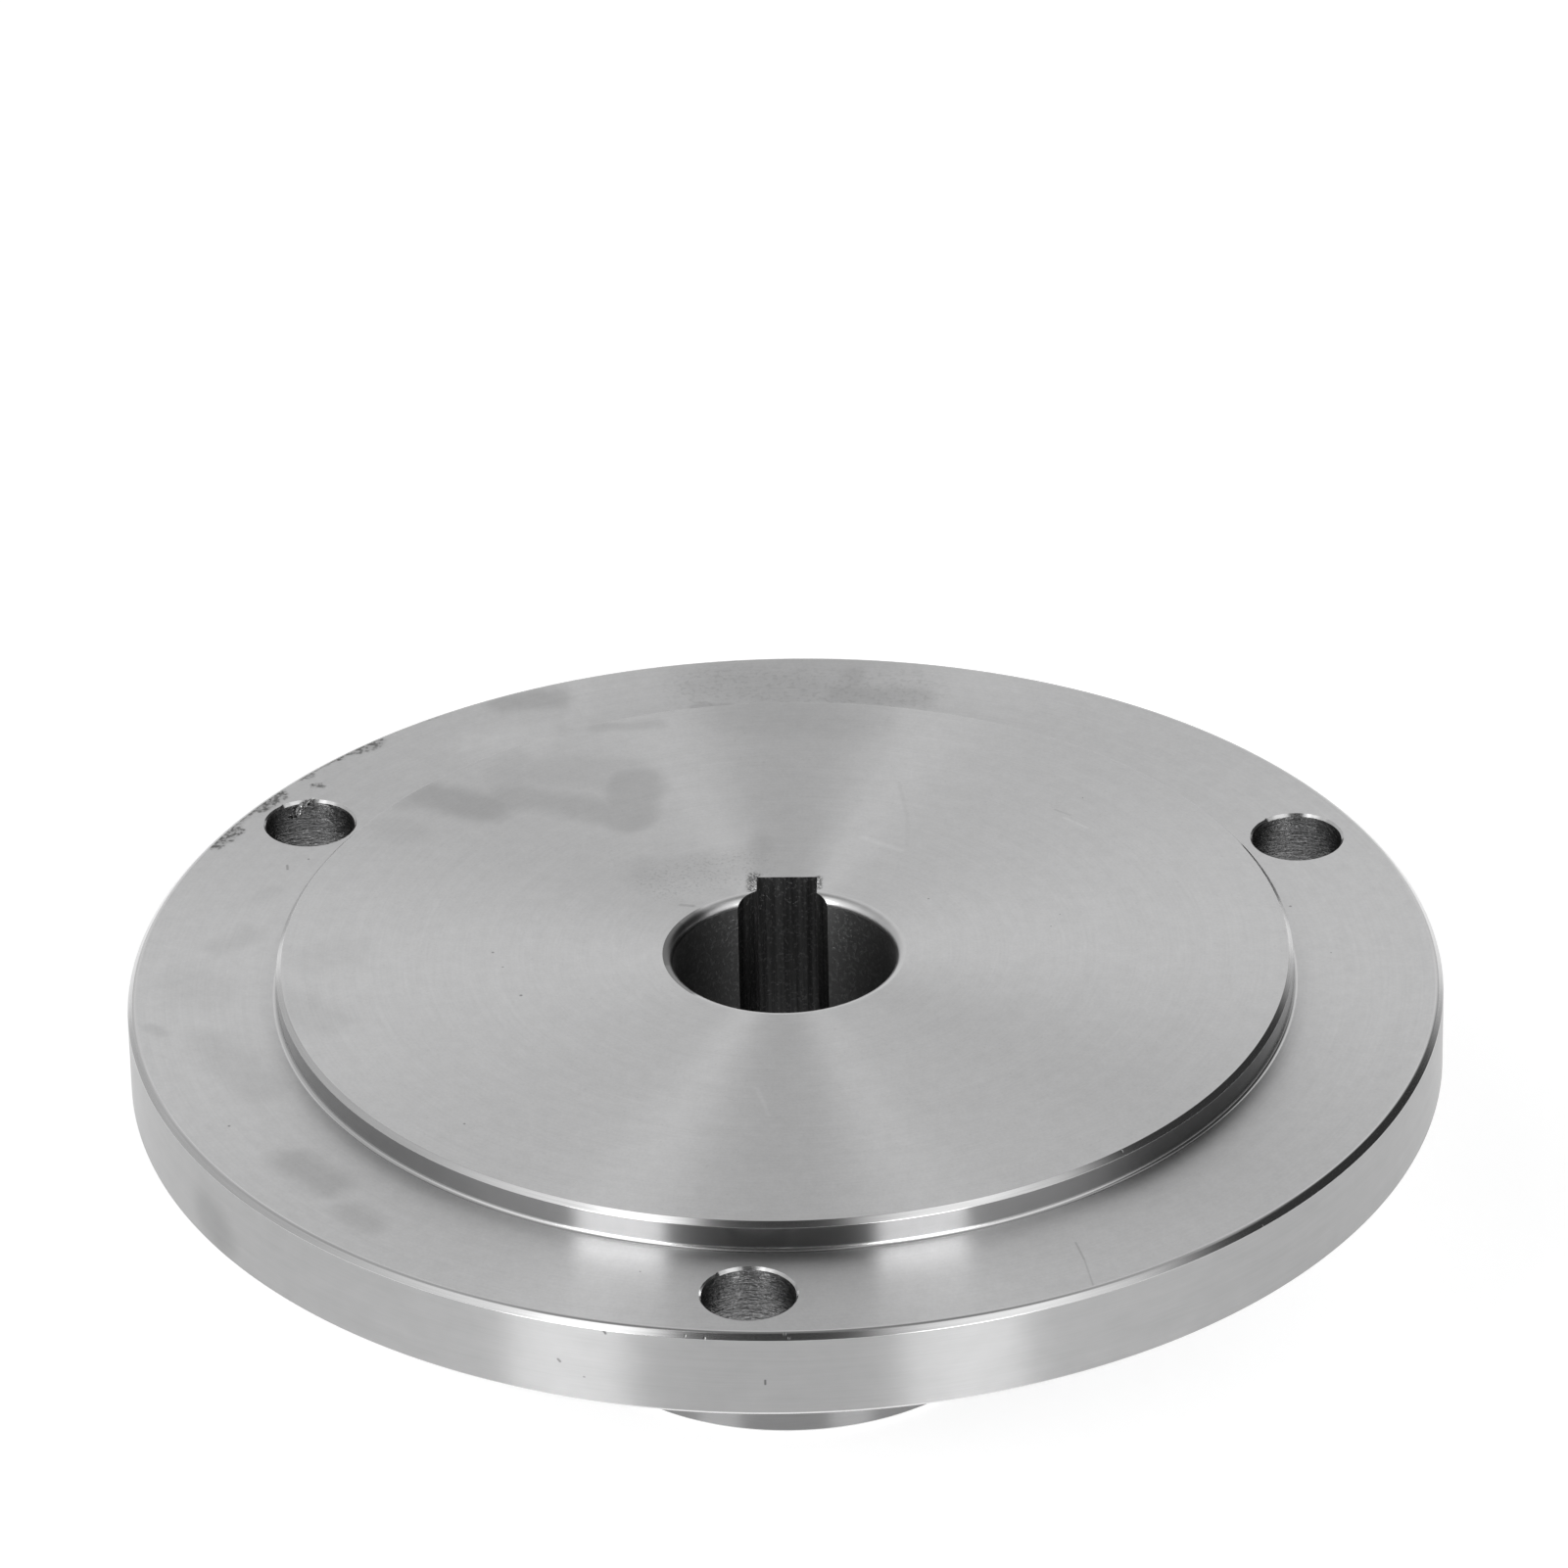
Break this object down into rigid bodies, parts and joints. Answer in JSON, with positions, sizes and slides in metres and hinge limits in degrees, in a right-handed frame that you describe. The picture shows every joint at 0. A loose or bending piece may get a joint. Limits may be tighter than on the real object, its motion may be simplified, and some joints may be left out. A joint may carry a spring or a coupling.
{
  "type": "chuck adapter plate",
  "caption": "Round turned steel flange with a raised centring register, a keyed through bore and a plain hub, drilled through for the bolts that hold a lathe chuck.",
  "frame": {"origin": "centre of the bore at the hub's end face, which the plate stands on", "axes": "+Z along the bore's axis from the hub towards the register, +Y towards the keyway"},
  "size_m": [0.1294, 0.1294, 0.042],
  "materials": {
    "turned_steel": "fine turned, bright, unpainted"
  },
  "bodies": {
    "root": {"adapter_plate": "turned_steel"}
  },
  "joints": []
}
